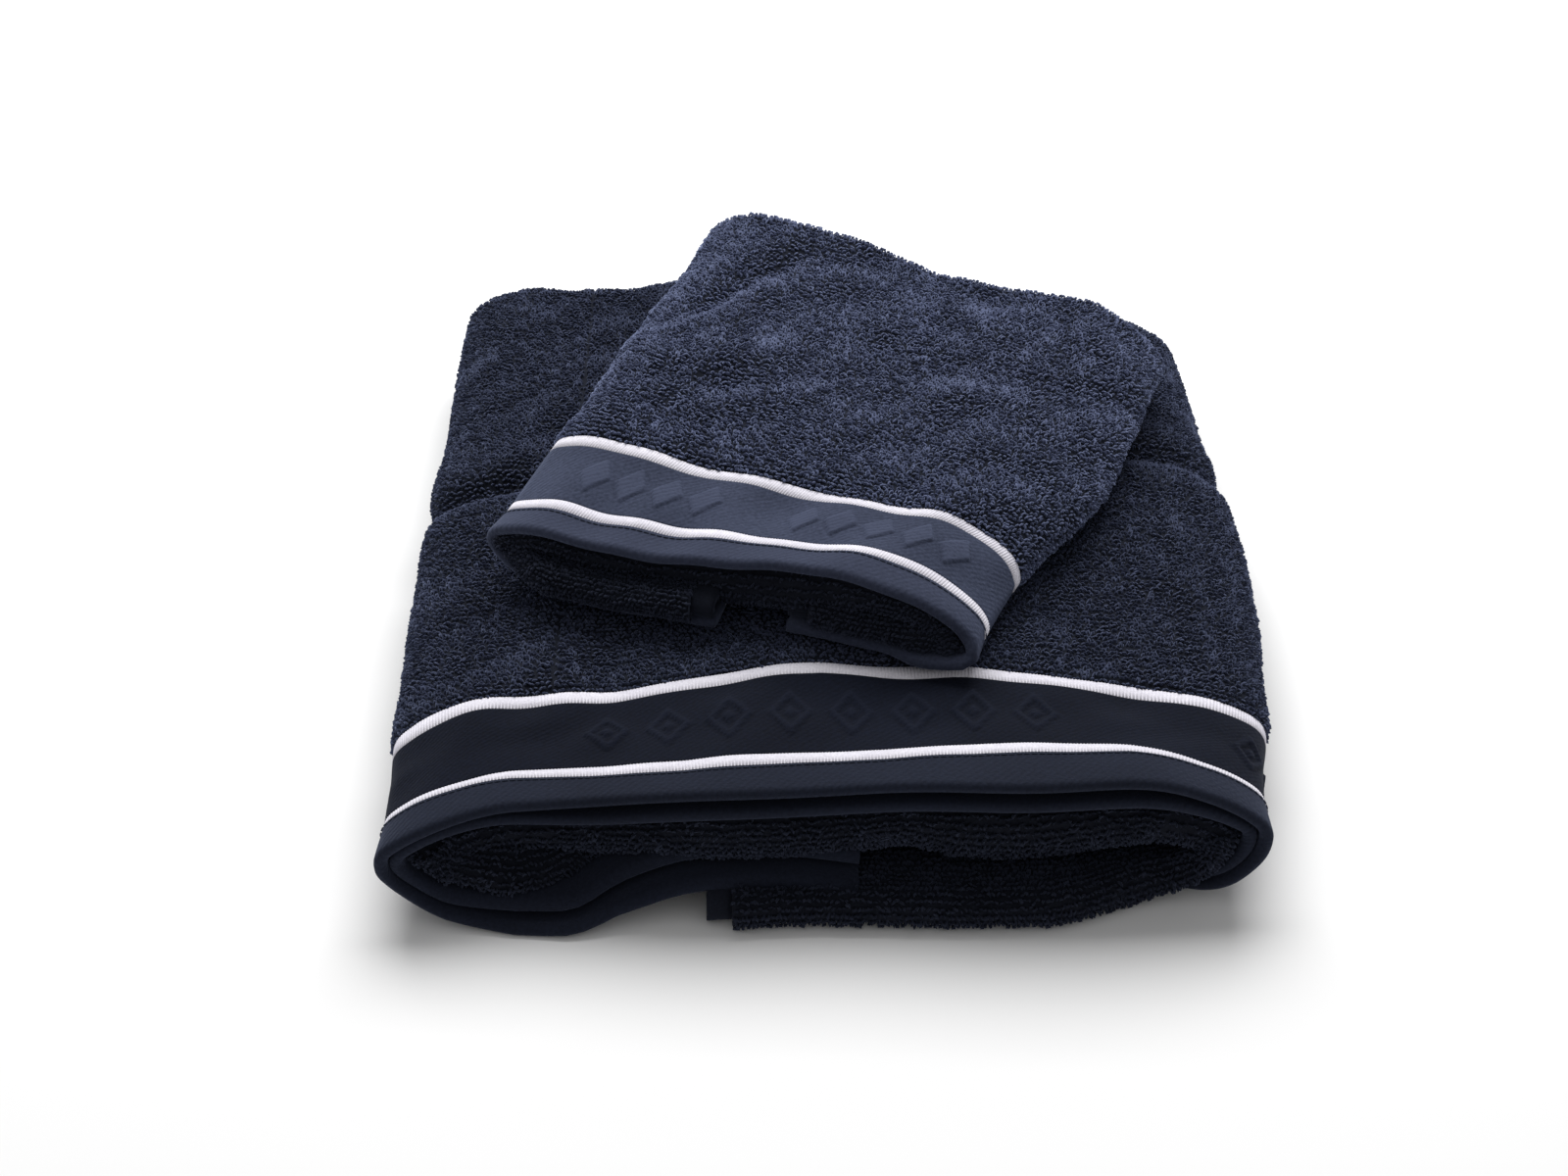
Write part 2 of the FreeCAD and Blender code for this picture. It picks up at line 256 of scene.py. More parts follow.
def both_faces(y, n, thickness):
    """The outline of a strip of this thickness along the line: the outer face, then the inner face back."""
    along = np.stack([np.gradient(y), np.gradient(n)])
    along /= np.linalg.norm(along, axis=0)
    half = np.full(len(y), thickness / 2)
    half[[0, -1]] *= 0.45
    half[[1, -2]] *= 0.90
    outer = (y + along[1] * half, n - along[0] * half)
    inner = (y - along[1] * half, n + along[0] * half)
    return outer, inner


def set_down(name, data):
    """An object with this data, in the scene."""
    thing = bpy.data.objects.new(name, data)
    bpy.context.scene.collection.objects.link(thing)
    return thing


def closed_and_smooth(mesh):
    """Turns every face of a closed mesh outward and shades it smooth."""
    work = bmesh.new()
    work.from_mesh(mesh)
    bmesh.ops.recalc_face_normals(work, faces=work.faces)
    work.to_mesh(mesh)
    work.free()
    mesh.shade_smooth()


def strip_mesh(name, wrap, shares, outlines):
    """A closed strip of cloth round the wrap. outlines gives, for each share, the outer and inner faces."""
    rings, flats = [], []
    for share, (outer, inner) in zip(shares, outlines):
        y = np.concatenate([outer[0], inner[0][::-1]])
        n = np.concatenate([outer[1], inner[1][::-1]])
        rings.append(wrap.place(share, y, n))
        flats.append(np.stack([np.full(len(y), share * wrap.length), y], axis=-1))
    count, half = len(rings[0]), len(rings[0]) // 2
    verts = np.concatenate(rings)
    faces = []
    for r in range(len(rings) - 1):
        a, b = r * count, (r + 1) * count
        faces += [(a + k, a + (k + 1) % count, b + (k + 1) % count, b + k) for k in range(count)]
    last = (len(rings) - 1) * count
    for k in range(half - 1):
        faces.append((k, count - 1 - k, count - 2 - k, k + 1))
        faces.append((last + k, last + k + 1, last + count - 2 - k, last + count - 1 - k))
    mesh = bpy.data.meshes.new(name)
    mesh.from_pydata(verts.tolist(), [], faces)
    flat = mesh.uv_layers.new(name="cloth")
    corner = np.zeros(len(mesh.loops), np.int32)
    mesh.loops.foreach_get("vertex_index", corner)
    flat.data.foreach_set("uv", np.concatenate(flats)[corner].astype(np.float32).ravel())
    closed_and_smooth(mesh)
    return set_down(name, mesh), np.array(rings)


def feed(node, inputs):
    """Gives each of these inputs of a node its value, or joins it to another node's output."""
    for label, value in inputs.items():
        if isinstance(value, bpy.types.NodeSocket):
            node.id_data.links.new(value, node.inputs[label])
        else:
            node.inputs[label].default_value = value


def add_node(tree, kind, inputs=None, **settings):
    """A new node with these settings and inputs."""
    node = tree.nodes.new(kind)
    for label, value in settings.items():
        setattr(node, label, value)
    feed(node, inputs or {})
    return node


def cloth_material(name, dark, light, patch, clump, sheen, roughness=0.92, bump=0.5, bump_size=0.0006):
    """Cotton: two shades mixed by brushed patches and by small clumps of yarn, with a soft sheen."""
    material = bpy.data.materials.new(name)
    material.use_nodes = True
    tree = material.node_tree
    where = add_node(tree, "ShaderNodeTexCoord").outputs["Object"]
    wide = add_node(tree, "ShaderNodeTexNoise", {"Vector": where, "Scale": 1 / patch, "Detail": 3})
    fine = add_node(tree, "ShaderNodeTexNoise", {"Vector": where, "Scale": 1 / clump, "Detail": 4})
    grain = fine.outputs["Fac"]
    both = add_node(tree, "ShaderNodeMix", {"Factor": 0.62, "A": wide.outputs["Fac"], "B": grain})
    ramp = add_node(tree, "ShaderNodeValToRGB", {"Fac": both.outputs["Result"]})
    low, high = ramp.color_ramp.elements
    low.position, low.color = 0.36, (*dark, 1)
    high.position, high.color = 0.66, (*light, 1)
    rough = add_node(tree, "ShaderNodeMapRange", {
        "Value": grain, "To Min": roughness - 0.08, "To Max": min(1.0, roughness + 0.06)})
    relief = add_node(tree, "ShaderNodeBump", {"Height": grain, "Strength": bump, "Distance": bump_size})
    feed(tree.nodes["Principled BSDF"], {
        "Base Color": ramp.outputs["Color"], "Roughness": rough.outputs["Result"],
        "Normal": relief.outputs["Normal"], "Specular IOR Level": 0.12, "Sheen Weight": sheen,
        "Sheen Roughness": 0.55, "Sheen Tint": (0.55, 0.65, 1.0, 1)})
    return material


# The ground cloth is dyed far darker than its loops, as painted shade in the gaps between the loops.
terry_ground = cloth_material("terry ground", (0.003, 0.0036, 0.007), (0.009, 0.011, 0.018), 0.04, 0.0016,
                              0.08)

# Steps along each stretch of the folded line.
bath_steps = {"first": 92, "outer_fold": 12, "inner": 20, "near": 8, "nose": 20, "inner_fold": 6,
              "second": 16}
SIDE_HEM = LEFT_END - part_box("bath_side_hem_left")[0].x
side_share = SIDE_HEM / bath.length


def share_above(wrap, x, height):
    """Share of the way round where the part of the front section above this height passes over x."""
    line = wrap.line[0]
    upper = np.where(line[:, 1] > height)[0]
    return upper[np.argmin(np.abs(line[upper, 0] - x))] / (wrap.ROUND - 1)


# How far down the front fold reaches inside the stack, from the left flap round to the right flap (mm).
NOSE_SHARES = [0.0, 0.16, 0.24] + [share_above(bath, x, 0.030) for x in (
    -0.110, -0.080, -0.038, -0.009, 0.012, 0.027, 0.046, 0.067, 0.086, 0.109, 0.135)] + [0.70, 0.77, 1.0]
NOSE_REACHES = [18.5, 20.5, 24.5, 27, 31, 34, 34.5, 33.5, 31, 39, 42, 40, 35, 26, 21, 11, 11]


def bath_nose(share):
    """Front fold at this share: the y of its tip, and the insets that it stands between."""
    on_floor = rise(share, 0.72, 0.07)
    tucked = 1 - rise(share, 0.125, 0.055)
    under = rise(share, 0.765, 0.07)
    tip = BATH_FRONT + 0.0050 + 0.0100 * tucked - 0.0165 * under + 0.0015 * math.sin(share * 23)
    return tip, MM * np.interp(share, NOSE_SHARES, NOSE_REACHES), 0.0125 - 0.0105 * on_floor


def bath_push(share):
    """How far the borders are pushed back on the right flap."""
    return 0.017 * rise(share, 0.735, 0.07)


def bath_outlines(shares, thickness, steps=bath_steps, back=0.0):
    """Outlines of the four layers at these shares."""
    result = []
    for share in shares:
        tip, high, low = bath_nose(share)
        start = BATH_TERRY_START + bath_push(share)
        y, n = fourth_line(start, BATH_BACK, tip + back, high, low, LAYER, steps)
        result.append(both_faces(y, n, thickness))
    return result


shares = round_stations(bath, side_share, 1 - side_share, 0.0032, 0.010, SEEN)
bath_terry, bath_rings = strip_mesh("bath_terry_cloth_folded", bath, shares, bath_outlines(shares, TERRY))
bath_terry.data.materials.append(terry_ground)

# ---------------------------------------------------------------------------------------------------------
# Bath towel, pile. Every spot of the terry carries a small standing loop of cotton yarn, in rows across the
# cloth. The loops lean with the way the towel was last brushed, which gives it its light and dark patches.
# ---------------------------------------------------------------------------------------------------------
ROW, ALONG = 2.05 * MM, 1.65 * MM   # from loop to loop, along and across the cloth
LOOP_HIGH = 1.9 * MM
ARCH = 0.62 * MM                    # half the width of a loop
YARN = 0.42 * MM                    # radius of the yarn
INNER_YARN = 0.46 * MM              # the same inside the folds, where it isn't worn


def points_tree(name, numbers):
    """A tree of geometry nodes that takes points and these numbers, and the outputs of its input node."""
    tree = bpy.data.node_groups.new(name, "GeometryNodeTree")
    tree.interface.new_socket("Geometry", in_out="INPUT", socket_type="NodeSocketGeometry")
    for label, value in numbers.items():
        kind = "NodeSocketInt" if isinstance(value, int) else "NodeSocketFloat"
        tree.interface.new_socket(label, in_out="INPUT", socket_type=kind).default_value = value
    tree.interface.new_socket("Geometry", in_out="OUTPUT", socket_type="NodeSocketGeometry")
    return tree, tree.nodes.new("NodeGroupInput").outputs


def of_point(tree, label, kind):
    """The value of this name that each point carries."""
    node = add_node(tree, "GeometryNodeInputNamedAttribute", {"Name": label}, data_type=kind)
    return next(o for o in node.outputs if o.enabled and o.name == "Attribute")


def stand_on_points(tree, points, shape, rotation, scale, material):
    """Ends a tree: the shape stands on every point, all together as one smooth mesh of this material."""
    placed = add_node(tree, "GeometryNodeInstanceOnPoints", {
        "Points": points, "Instance": shape, "Rotation": rotation, "Scale": scale})
    real = add_node(tree, "GeometryNodeRealizeInstances", {"Geometry": placed.outputs["Instances"]})
    smooth = add_node(tree, "GeometryNodeSetShadeSmooth", {"Geometry": real.outputs["Geometry"]})
    finish = add_node(tree, "GeometryNodeSetMaterial", {
        "Geometry": smooth.outputs["Geometry"], "Material": material})
    add_node(tree, "NodeGroupOutput", {"Geometry": finish.outputs["Geometry"]})


def loop_tree(name, arch_width, yarn, material):
    """Geometry nodes that stand one yarn loop on each point, turned and leaned by the point's attributes."""
    tree, given = points_tree(name, {
        "Loop height": 0.0018, "Arch width": arch_width, "Yarn radius": yarn, "Seed": 5})
    arch = add_node(tree, "GeometryNodeCurveArc", {
        "Resolution": 4, "Radius": given["Arch width"], "Start Angle": math.radians(-25),
        "Sweep Angle": math.radians(230)})
    stand = add_node(tree, "GeometryNodeTransform", {
        "Geometry": arch.outputs["Curve"], "Rotation": (math.radians(90), 0, 0)})
    profile = add_node(tree, "GeometryNodeCurvePrimitiveCircle", {
        "Resolution": 3, "Radius": given["Yarn radius"]})
    yarn_mesh = add_node(tree, "GeometryNodeCurveToMesh", {
        "Curve": stand.outputs["Geometry"], "Profile Curve": profile.outputs["Curve"]})
    tall = add_node(tree, "ShaderNodeMath", {0: given["Loop height"], 1: given["Arch width"]},
                    operation="DIVIDE")
    half = add_node(tree, "ShaderNodeMath", {0: tall.outputs[0], 1: 0.55}, operation="MULTIPLY")
    stretch = add_node(tree, "ShaderNodeCombineXYZ", {"X": 1, "Y": 1, "Z": half.outputs[0]})
    shaped = add_node(tree, "GeometryNodeTransform", {
        "Geometry": yarn_mesh.outputs["Mesh"], "Scale": stretch.outputs["Vector"]})

    spin = add_node(tree, "FunctionNodeRandomValue", {2: -0.9, 3: 0.9, "Seed": given["Seed"]},
                    data_type="FLOAT")
    lean = add_node(tree, "FunctionNodeAlignRotationToVector", {
        "Vector": of_point(tree, "lean", "FLOAT_VECTOR")}, axis="Z")
    turn = add_node(tree, "FunctionNodeAxisAngleToRotation", {"Axis": (0, 0, 1), "Angle": spin.outputs[1]})
    rotation = add_node(tree, "FunctionNodeRotateRotation", {
        "Rotation": lean.outputs["Rotation"], "Rotate By": turn.outputs["Rotation"]},
        rotation_space="LOCAL")
    stand_on_points(tree, given["Geometry"], shaped.outputs["Geometry"], rotation.outputs["Rotation"],
                    of_point(tree, "size", "FLOAT"), material)
    return tree


def grown(name, points, attributes, tree, **inputs):
    """A plain mesh of what the geometry nodes make on these points."""
    mesh = bpy.data.meshes.new(name)
    mesh.from_pydata(points.tolist(), [], [])
    for label, values in attributes.items():
        kind = "FLOAT_VECTOR" if values.ndim == 2 else "FLOAT"
        layer = mesh.attributes.new(label, kind, "POINT")
        layer.data.foreach_set("vector" if values.ndim == 2 else "value", values.astype(np.float32).ravel())
    seeds = set_down(name, mesh)
    modifier = seeds.modifiers.new(name, "NODES")
    modifier.node_group = tree
    for item in tree.interface.items_tree:
        if item.in_out == "INPUT" and item.name in inputs:
            modifier[item.identifier] = inputs[item.name]
    bpy.context.view_layer.update()
    made = bpy.data.meshes.new_from_object(seeds.evaluated_get(bpy.context.evaluated_depsgraph_get()))
    seeds.modifiers.clear()
    seeds.data = made
    made.name = name
    return seeds


def rows_of_loops(grid, row_step, along_step, seed, jitter):
    """Points in rows on a grid of surface points, with the outward direction at each."""
    rng = np.random.default_rng(seed)
    rows_at, length = [], np.linalg.norm(np.diff(grid, axis=1), axis=-1).mean(axis=0)
    walked = np.concatenate([[0], np.cumsum(length)])
    for y_at in np.arange(row_step / 2, walked[-1], row_step):
        k = min(np.searchsorted(walked, y_at, side="right") - 1, grid.shape[1] - 2)
        u = (y_at - walked[k]) / max(length[k], 1e-9)
        rows_at.append((k, u))
    down = np.concatenate([[0], np.cumsum(np.linalg.norm(np.diff(grid, axis=0), axis=-1).mean(axis=1))])
    count = int(down[-1] / along_step)
    points, normals = [], []
    for r, (k, u) in enumerate(rows_at):
        at = (np.arange(count) + 0.5 * (r % 2) + rng.uniform(-jitter, jitter, count)) * along_step
        at = np.clip(at, 0, down[-1] - 1e-6)
        j = np.minimum(np.searchsorted(down, at, side="right") - 1, grid.shape[0] - 2)
        v = ((at - down[j]) / (down[j + 1] - down[j]))[:, None]
        w = np.clip(u + rng.uniform(-jitter, jitter, count) * row_step / max(length[k], 1e-9), 0, 1)[:, None]
        a, b, c, d = grid[j, k], grid[j + 1, k], grid[j, k + 1], grid[j + 1, k + 1]
        points.append((a * (1 - v) + b * v) * (1 - w) + (c * (1 - v) + d * v) * w)
        normal = np.cross(b - a, c - a)
        normals.append(normal / np.maximum(np.linalg.norm(normal, axis=1, keepdims=True), 1e-12))
    return np.concatenate(points), np.concatenate(normals)


def pile(name, grid, tree, seed, outward, row_step=ROW, along_step=ALONG, height=LOOP_HIGH, lean=0.55,
         jitter=0.3, keep=None):
    """The standing loops on a grid of surface points."""
    points, normals = rows_of_loops(grid, row_step, along_step, seed, jitter)
    normals *= outward
    rng = np.random.default_rng(seed + 1)
    x, y, z = points.T
    brushed = np.stack([uneven(x + z, y, 0.028, seed + 2) + 0.8 * uneven(x, y - z, 0.009, seed + 3),
                        uneven(x - z, y, 0.031, seed + 4) + 0.8 * uneven(x, y + z, 0.010, seed + 5),
                        np.zeros(len(x))], axis=1)
    own = rng.normal(0, 0.24, (len(x), 3))
    direction = normals + lean * brushed * 0.6 + own
    direction /= np.linalg.norm(direction, axis=1, keepdims=True)
    pressed_up = (0.7 * MM - z) / (1.3 * height)        # loops near the ground lie on it
    direction[:, 2] = np.maximum(direction[:, 2], pressed_up)
    clump = uneven(x, y + z, 0.007, seed + 6)
    size = rng.uniform(0.82, 1.20, len(x)) * (1 + 0.15 * clump)
    shade = 0.5 + 0.05 * clump + 0.06 * uneven(x + z, y, 0.030, seed + 7) + rng.normal(0, 0.05, len(x))
    if keep is not None:
        chosen = keep(points)
        points, direction, size, shade = points[chosen], direction[chosen], size[chosen], shade[chosen]
    return grown(name, points, {"lean": direction, "size": size, "shade": shade}, tree,
                 **{"Loop height": height, "Seed": seed})


def pile_material(name, dark, light, sheen):
    """Looped cotton, in which every loop takes the dye a little differently."""
    material = cloth_material(name, dark, light, 0.035, 0.0022, sheen, bump=0.25, bump_size=0.0003)
    tree = material.node_tree
    ramp = next(n for n in tree.nodes if n.bl_idname == "ShaderNodeValToRGB")
    low, high = ramp.color_ramp.elements
    low.position, high.position = 0.20, 0.78
    shade = add_node(tree, "ShaderNodeAttribute", attribute_name="shade")
    both = add_node(tree, "ShaderNodeMix", {
        "Factor": 0.62, "A": ramp.inputs["Fac"].links[0].from_socket, "B": shade.outputs["Fac"]})
    feed(ramp, {"Fac": both.outputs["Result"]})
    return material


# The bath towel's loops are dyed darker and given less sheen than the guest towel's of the same cotton, as
# painted shade on the lower, less lit towel.
pile_cotton = pile_material("looped pile", (0.011, 0.0138, 0.028), (0.045, 0.054, 0.099), 0.30)
# Inside the front fold the loops are dyed much darker and given less sheen, as painted shade in the recess of
# the fold.
inner_pile_painted_shade = pile_material("looped pile inside the fold", (0.0035, 0.0042, 0.0092),
                                  (0.024, 0.029, 0.050), 0.09)
pile_tree = loop_tree("loops of the pile", ARCH, YARN, pile_cotton)
inner_pile_tree = loop_tree("loops inside the fold", ARCH, INNER_YARN, inner_pile_painted_shade)
first_rows = bath_steps["first"] + bath_steps["outer_fold"] - 2
outer_face = bath_rings[:, :first_rows]
middle_row = outer_face.shape[1] // 2
side_a, side_b = np.searchsorted(shares, TOP_SHARES)
seen_a, seen_b = np.searchsorted(shares, SEEN)
quarter = (side_a + side_b) // 2
pile_areas = {
    "bath_pile_left_roll": outer_face[seen_a:side_a + 1],
    "bath_pile_top_left_front": outer_face[side_a:quarter + 1, :middle_row + 1],
    "bath_pile_top_left_back": outer_face[side_a:quarter + 1, middle_row:],
    "bath_pile_top_right_front": outer_face[quarter:side_b + 1, :middle_row + 1],
    "bath_pile_top_right_back": outer_face[quarter:side_b + 1, middle_row:],
    "bath_pile_right_roll": outer_face[side_b:seen_b],
}
FLOOR_CLEAR = 2.4 * MM              # below this the pile is pressed flat
bath_piles = []
for k, (name, grid) in enumerate(pile_areas.items()):
    bath_piles.append(pile(name, grid, pile_tree, 20 + 10 * k, 1,
                           keep=lambda p: p[:, 2] > FLOOR_CLEAR))
nose_start = first_rows + bath_steps["inner"] - 1
nose_grid = bath_rings[:, nose_start:nose_start + bath_steps["nose"] + 2 * bath_steps["near"] - 4]
for k, (name, part) in enumerate({"left": nose_grid[:side_a + 1], "top": nose_grid[side_a:side_b + 1],
                                  "right": nose_grid[side_b:]}.items()):
    bath_piles.append(pile("bath_pile_front_fold_" + name, part, inner_pile_tree, 90 + 10 * k, 1,
                           row_step=2.45 * MM, along_step=1.6 * MM, height=2.3 * MM, lean=0.55, jitter=0.22,
                           keep=lambda p: p[:, 2] > 1.2 * MM))
for piece in [bath_terry] + bath_piles:
    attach(piece, "bath_towel")
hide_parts("bath_terry_cloth")

# ---------------------------------------------------------------------------------------------------------
# Bath towel, side hems. Both long edges are turned over twice and sewn flat, so they end the terry with a
# plain strip that is folded together with it.
# ---------------------------------------------------------------------------------------------------------
# The side hems at the flap ends are dyed darker, as painted shade under the folded flaps.
hem_cotton = cloth_material("hem twill", (0.0042, 0.0052, 0.0095), (0.0095, 0.0115, 0.0195), 0.05, 0.0009,
                            0.08, bump=0.35, bump_size=0.0002)
hem_steps = {"first": 50, "outer_fold": 10, "inner": 16, "near": 6, "nose": 14, "inner_fold": 6, "second": 16}
HEM_FULLER = 1.03                   # a side hem is turned twice, so it is thicker than the terry's ground
HEM_BACK = 3.5 * MM                 # and its front fold lies a little further back
for side, (a, b) in {"left": (0.0, side_share), "right": (1 - side_share, 1.0)}.items():
    at = np.linspace(a, b, 5)
    outlines = bath_outlines(at, TERRY * HEM_FULLER, hem_steps, HEM_BACK)
    piece, _ = strip_mesh("bath_side_hem_folded_" + side, bath, at, outlines)
    piece.data.materials.append(hem_cotton)
    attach(piece, "bath_towel")
    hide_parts("bath_side_hem_" + side)

# ---------------------------------------------------------------------------------------------------------
# Bath towel, borders. Each end of the cloth is flat woven: a turned and sewn hem, a narrow white stripe, a
# plain twill band with a raised pattern, and a wider white stripe beside the terry. The first border lies
# outside; the second is the cloth's other end and lies just under it.
# ---------------------------------------------------------------------------------------------------------
def rounded_strip(y0, y1, n0, n1, steps, swell=0.0, first=0.4 * MM, last=0.4 * MM):
    """Outline of a flat strip between two depths and two insets, with its edges rounded to these radii."""
    turn = np.linspace(0, math.pi / 2, 4)[:-1]
    y = np.concatenate([y0 + first * (1 - np.cos(turn)), np.linspace(y0 + first, y1 - last, steps),
                        y1 - last * (1 - np.cos(turn[::-1]))])
    drop = np.concatenate([first * (1 - np.sin(turn)), np.zeros(steps), last * (1 - np.sin(turn[::-1]))])
    half = (n1 - n0) / 2 * (1 + swell * np.sin(math.pi * (y - y0) / (y1 - y0))) - drop
    half = np.maximum(half, 0.02 * (n1 - n0))
    middle = (n0 + n1) / 2
    return (y, middle - half), (y, middle + half)


def twill_material(name, dark, light, pitch, angle, sheen, raised_highlight=0.0):
    """Fine diagonal twill along the flat cloth, with uneven dye, and lighter on the raised pattern as a
    painted highlight.
    """
    material = cloth_material(name, dark, light, 0.05, 0.0012, sheen)
    tree = material.node_tree
    ramp = next(n for n in tree.nodes if n.bl_idname == "ShaderNodeValToRGB")
    grain = next(n for n in tree.nodes if n.bl_idname == "ShaderNodeBump")
    flat = add_node(tree, "ShaderNodeUVMap", uv_map="cloth")
    turned = add_node(tree, "ShaderNodeMapping", {"Vector": flat.outputs["UV"], "Rotation": (0, 0, angle)})
    wefts = add_node(tree, "ShaderNodeTexWave", {
        "Vector": turned.outputs["Vector"], "Scale": 1 / pitch / 20 * math.pi, "Distortion": 0.6,
        "Detail": 1})
    relief = add_node(tree, "ShaderNodeBump", {
        "Height": wefts.outputs["Fac"], "Normal": grain.outputs["Normal"], "Strength": 0.55,
        "Distance": 0.12 * MM})
    feed(tree.nodes["Principled BSDF"], {"Normal": relief.outputs["Normal"]})
    # The raised pattern is made lighter in colour, as a painted highlight where the raised yarn catches the
    # light.
    if raised_highlight:
        raised = add_node(tree, "ShaderNodeAttribute", attribute_name="raised")
        lighter = add_node(tree, "ShaderNodeMath", {
            0: raised.outputs["Fac"], 1: raised_highlight, 2: ramp.inputs["Fac"].links[0].from_socket},
            operation="MULTIPLY_ADD")
        feed(ramp, {"Fac": lighter.outputs[0]})
    return material


# The bath towel's band and hem are dyed much darker than the guest towel's of the same cotton, as painted
# shade on the lower towel.
band_cotton = twill_material("band twill", (0.0020, 0.0029, 0.0070), (0.0050, 0.0070, 0.0156), 0.0010, 0.9,
                             0.03, 0.12)
hem_twill = twill_material("hem twill diagonal", (0.0060, 0.0076, 0.0145), (0.011, 0.014, 0.026), 0.0011,
                           0.8, 0.10)
stripe_cotton = cloth_material("white stripe", (0.62, 0.60, 0.66), (0.80, 0.78, 0.84), 0.03, 0.0009, 0.1,
                               bump=0.3, bump_size=0.0002)


SLOPE = 0.08                        # share of a lozenge over which its edge rises


def lozenge_relief(u, v, width, length, groups, pitch, hole, core):
    """1 on the raised pattern and 0 beside it: groups of lozenges, with a hole and a solid core inside it."""
    raised = np.zeros(np.broadcast(u, v).shape)
    for middle, count in groups:
        for k in range(count):
            centre = middle + pitch * (k - (count - 1) / 2)
            reach = np.abs(u - centre) / (width / 2) + np.abs(v) / (length / 2)
            ring = ease((1 - reach) / SLOPE) * ease((reach - hole) / SLOPE)
            raised = np.maximum(raised, np.maximum(ring, ease((core - reach) / SLOPE)))
    return raised


PATTERN_HIGH = 0.9 * MM
BORDER_ROWS = ("hem", "lower_stripe", "band", "upper_stripe")
# How far inside the outer face each strip lies, from n0 to n1, and the radii of its two edges.
STRIPE = {"n0": 0.00075, "n1": 0.0028, "steps": 4, "first": 0.00025, "last": 0.00025}
STRIPS = {"hem": {"n0": -0.0004, "n1": 0.0040, "steps": 16, "swell": 0.08, "first": 0.0020, "last": 0.0005},
          "lower_stripe": STRIPE, "band": {"n0": 0.0006, "n1": 0.0030, "steps": 48}, "upper_stripe": STRIPE}


def border(prefix, wrap, edges, lie, fine, cloths, pattern=None):
    """The four strips of a border, by row.

    edges(share) gives the five depths between which the strips lie there; lie(share) how far the border is
    pushed back there, and how far it lies inside the outer face.
    """
    made = {}
    for k, row in enumerate(BORDER_ROWS):
        at = round_stations(wrap, 0.0, 1.0, fine, 0.006, SEEN)
        outlines, raised = [], []
        for share in at:
            (y0, y1), (back, inset) = edges(share)[k:k + 2], lie(share)
            (y, outer), (_, inner) = rounded_strip(y0, y1, **STRIPS[row])
            if row == "hem":
                outer = outer + 0.0007 * rise(y, y0, y1 - y0)
            up = pattern(share, y - (y0 + y1) / 2) if row == "band" and pattern else np.zeros(len(y))
            raised.append(np.concatenate([up, np.zeros(len(y))]))
            outlines.append(((y + back, outer + inset - up * PATTERN_HIGH), (y + back, inner + inset)))
        piece, _ = strip_mesh(f"{prefix}_{row}_woven", wrap, at, outlines)
        piece.data.materials.append(cloths.get(row, stripe_cotton))
        # The band's raised pattern is stored for its material, which paints it lighter as a painted
        # highlight.
        if row == "band":
            raised_highlight = piece.data.attributes.new("raised", "FLOAT", "POINT")
            raised_highlight.data.foreach_set("value", np.concatenate(raised).astype(np.float32))
        made[row] = piece
    return made


def edges_from(prefix):
    """The five depths between which a border's strips lie in the frame."""
    boxes = [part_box(prefix + row) for row in BORDER_ROWS]
    return [boxes[0][0].y] + [(a[1].y + b[0].y) / 2 for a, b in zip(boxes, boxes[1:])] + [boxes[-1][1].y]


BATH_PATTERN = {"width": 0.0170, "length": 0.0270, "pitch": 0.0215, "groups": ((0.0, 8), (0.172, 3)),
                "hole": 0.58, "core": 0.30}
bath_middle = share_above(bath, 0.0, 0.040)
bath_first_depths, bath_second_depths = edges_from("bath_front_"), edges_from("bath_second_")
LOWER_THIN = [share_above(bath, x, 0.030) for x in (-0.120, -0.080, 0.100, 0.132)]
LOWER_STRAY = [share_above(bath, x, 0.030) for x in (
    -0.140, -0.110, -0.047, 0.021, 0.056, 0.105, 0.128, 0.142)]


def bath_pattern(share, v):
    """The raised pattern at this share and this far from the middle of the band."""
    return lozenge_relief((share - bath_middle) * bath.length, v, **BATH_PATTERN)


def bath_first_edges(share):
    """The lower stripe is partly turned under the hem's bulge towards both sides."""
    hem, lower, band, upper, _ = bath_first_depths
    middle, half = (lower + band) / 2, 0.0027 * np.interp(share, LOWER_THIN, [0.6, 1, 1, 0.5])
    middle += MM * np.interp(share, LOWER_STRAY, [0, -1.5, -2.2, 0, 3.0, 3.4, 0.8, 0])
    return [hem, middle - half, middle + half, upper + 1.0 * MM, BATH_TERRY_START - 0.1 * MM]


def first_lie(share):
    """How far the first border is pushed back, and how far it lies inside the outer face."""
    return bath_push(share), 0.0


def second_lie(share):
    """The same for the second border, which shows a little below the first one over the top."""
    over_top = rise(share, 0.28, 0.10) * (1 - rise(share, 0.62, 0.10))
    under = 1 - rise(share, 0.16, 0.06)
    return (0.9 * bath_push(share) - 0.0020 * over_top + 0.0020 * under,
            0.0050 + 0.0036 * over_top + 0.0024 * under)


bath_cloths = {"hem": hem_twill, "band": band_cotton}
bath_first = border("bath_first", bath, bath_first_edges, first_lie, 0.0010, bath_cloths, bath_pattern)
bath_second = border("bath_second", bath, lambda share: bath_second_depths, second_lie, 0.004, bath_cloths)
for prefix, made in (("bath_front_", bath_first), ("bath_second_", bath_second)):
    for row, piece in made.items():
        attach(piece, "bath_towel")
        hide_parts(prefix + row)

# ---------------------------------------------------------------------------------------------------------
# Bath towel, hem stitching. A lockstitch in navy thread holds the turned hem, close to the lower stripe.
# ---------------------------------------------------------------------------------------------------------
STITCH = 2.6 * MM
THREAD = 0.30 * MM
STITCH_SHARE = 0.92                 # how much of each stitch's length shows


